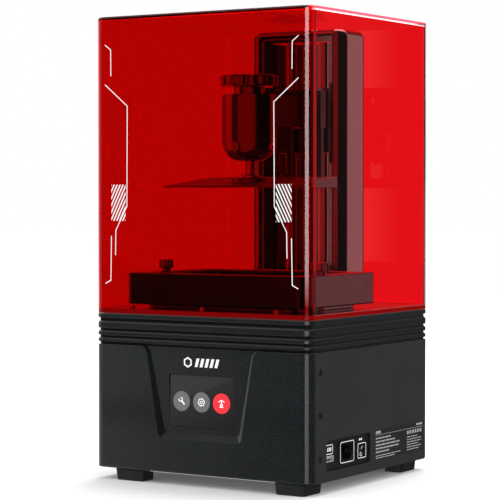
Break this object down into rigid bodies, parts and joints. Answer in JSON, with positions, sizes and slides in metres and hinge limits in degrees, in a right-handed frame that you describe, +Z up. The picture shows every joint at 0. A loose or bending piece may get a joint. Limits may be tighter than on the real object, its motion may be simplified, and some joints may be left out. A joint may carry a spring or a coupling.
{
  "type": "resin printer",
  "caption": "Desktop resin printer: red lift-off cover over a build platform, vat and screw-driven tower, on a base with a recessed touchscreen and side power inlet.",
  "frame": {"origin": "centre of the footprint on the floor, under the feet", "axes": "+X to the side with the ports and the power switch, +Y to the back, +Z up; the screen faces -Y"},
  "size_m": [0.245, 0.232, 0.4475],
  "materials": {
    "charcoal_metal": "satin powder coat",
    "charcoal_moulding": "satin",
    "woven_shell": "fine woven pattern under a clear coat",
    "black_metal": "matt black",
    "black_cast_metal": "black anodised",
    "black_anodised": "black anodised, satin",
    "bright_metal": "fine blasted",
    "steel": "fine brushed",
    "polished_steel": "polished",
    "black_plastic": "fine grain",
    "screen_glass": "gloss",
    "clear_glass": "polished",
    "clear_film": "stretched clear film",
    "circuit_board": "solder mask",
    "foot_rubber": "matt",
    "lead_nut_brass": "machined",
    "red_acrylic": "clear gloss red"
  },
  "bodies": {
    "base": {"base_tray": "black_metal", "front_shell": "woven_shell", "ribbed_collar": "charcoal_moulding", "side_panel_right": "charcoal_metal", "side_panel_left": "charcoal_metal", "rear_panel": "charcoal_metal", "panel_screw_right_1": "steel", "panel_screw_right_2": "steel", "panel_screw_right_3": "steel", "panel_screw_left_1": "steel", "panel_screw_left_2": "steel", "panel_screw_left_3": "steel", "foot_front_left": "foot_rubber", "foot_front_right": "foot_rubber", "foot_back_left": "foot_rubber", "foot_back_right": "foot_rubber", "touchscreen": "screen_glass", "display_board": "circuit_board", "port_plate": "black_metal", "usb_port": "steel", "power_inlet": "black_plastic", "switch_frame": "black_plastic", "projector_body": "bright_metal", "projector_lens": "clear_glass", "mainboard": "circuit_board", "power_supply": "bright_metal", "fan_frame": "black_plastic", "z_motor": "black_cast_metal", "deck_plate": "charcoal_metal", "light_window": "clear_glass", "deck_screw_1": "steel", "deck_screw_2": "steel", "deck_screw_3": "steel", "tower_housing": "charcoal_metal", "tower_column": "bright_metal", "guide_rod_left": "polished_steel", "guide_rod_right": "polished_steel", "upper_rod_block": "black_cast_metal"},
    "carriage": {"carriage_block": "black_cast_metal", "linear_bearing_left": "polished_steel", "linear_bearing_right": "polished_steel", "lead_nut": "lead_nut_brass", "platform_arm": "black_cast_metal", "clamp_screw_front": "steel", "clamp_screw_back": "steel", "clamp_screw_left": "steel", "clamp_screw_right": "steel"},
    "platform": {"ball_stud": "steel", "build_platform": "bright_metal"},
    "arm_knob": {"platform_knob": "black_cast_metal"},
    "drive_screw": {"lead_screw": "polished_steel"},
    "vat": {"vat_frame": "black_anodised", "vat_film": "clear_film", "film_frame": "steel"},
    "vat_screw_left": {"thumbscrew_left": "black_cast_metal"},
    "vat_screw_right": {"thumbscrew_right": "black_cast_metal"},
    "cover": {"cover": "red_acrylic"},
    "power_rocker": {"switch_rocker": "black_plastic"},
    "cooling_fan": {"fan_rotor": "black_plastic"}
  },
  "joints": [
    {"name": "cover_lift", "type": "slide", "parent": "base", "child": "cover", "axis": [0, 0, 1], "range_m": [0, 0.29]},
    {"name": "z_slide", "type": "slide", "parent": "base", "child": "carriage", "axis": [0, 0, 1], "range_m": [-0.1105, 0.045]},
    {"name": "lead_screw_spin", "type": "hinge", "parent": "base", "child": "drive_screw", "pos_m": [0, 0.082, 0.3], "axis": [0, 0, 1], "range_deg": [-10080, 4140]},
    {"name": "platform_level", "type": "hinge", "parent": "carriage", "child": "platform", "pos_m": [0, -0.0265, 0.33], "axis": [1, 0, 0], "range_deg": [-2, 2]},
    {"name": "knob_turn", "type": "hinge", "parent": "carriage", "child": "arm_knob", "pos_m": [0, -0.0265, 0.38], "axis": [0, 0, 1], "continuous": true},
    {"name": "vat_lift", "type": "slide", "parent": "base", "child": "vat", "axis": [0, 0, 1], "range_m": [0, 0.07]},
    {"name": "thumbscrew_left_turn", "type": "hinge", "parent": "vat", "child": "vat_screw_left", "pos_m": [-0.088, -0.042, 0.2], "axis": [0, 0, 1], "continuous": true},
    {"name": "thumbscrew_right_turn", "type": "hinge", "parent": "vat", "child": "vat_screw_right", "pos_m": [0.088, -0.042, 0.2], "axis": [0, 0, 1], "continuous": true},
    {"name": "power_rocker_tilt", "type": "hinge", "parent": "base", "child": "power_rocker", "pos_m": [0.1189, -0.02035, 0.0334], "axis": [0, -1, 0], "range_deg": [0, 18]},
    {"name": "fan_spin", "type": "hinge", "parent": "base", "child": "cooling_fan", "pos_m": [-0.062, 0.106, 0.072], "axis": [0, 1, 0], "continuous": true}
  ],
  "couplings": [
    {"joint": "lead_screw_spin", "follows": "z_slide", "rad_per_m": 1570.8}
  ]
}
